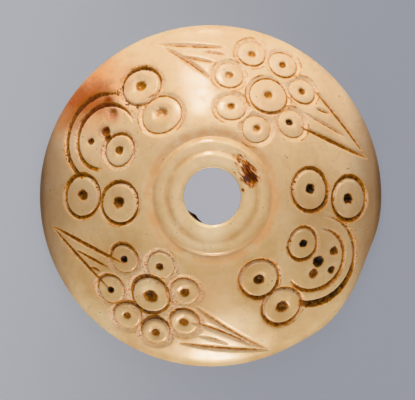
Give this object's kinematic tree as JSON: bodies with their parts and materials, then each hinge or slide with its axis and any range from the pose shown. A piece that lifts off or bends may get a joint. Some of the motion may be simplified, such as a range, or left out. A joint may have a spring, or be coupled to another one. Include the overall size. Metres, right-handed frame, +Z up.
{
  "type": "spindle whorl",
  "caption": "Round domed spindle whorl of carved ivory, with a bore for the spindle, a stepped collar and ring-and-dot flowers, crescents and leaf strokes on the dome.",
  "frame": {"origin": "middle of the disc's outline, on its flat underside", "axes": "+Z up out of the collar, +Y towards the side of the disc that is at the top of the picture, +X to its right"},
  "size_m": [0.04, 0.04, 0.01],
  "materials": {
    "ivory": "polished, aged and stained"
  },
  "bodies": {
    "root": {"whorl": "ivory"}
  },
  "joints": []
}
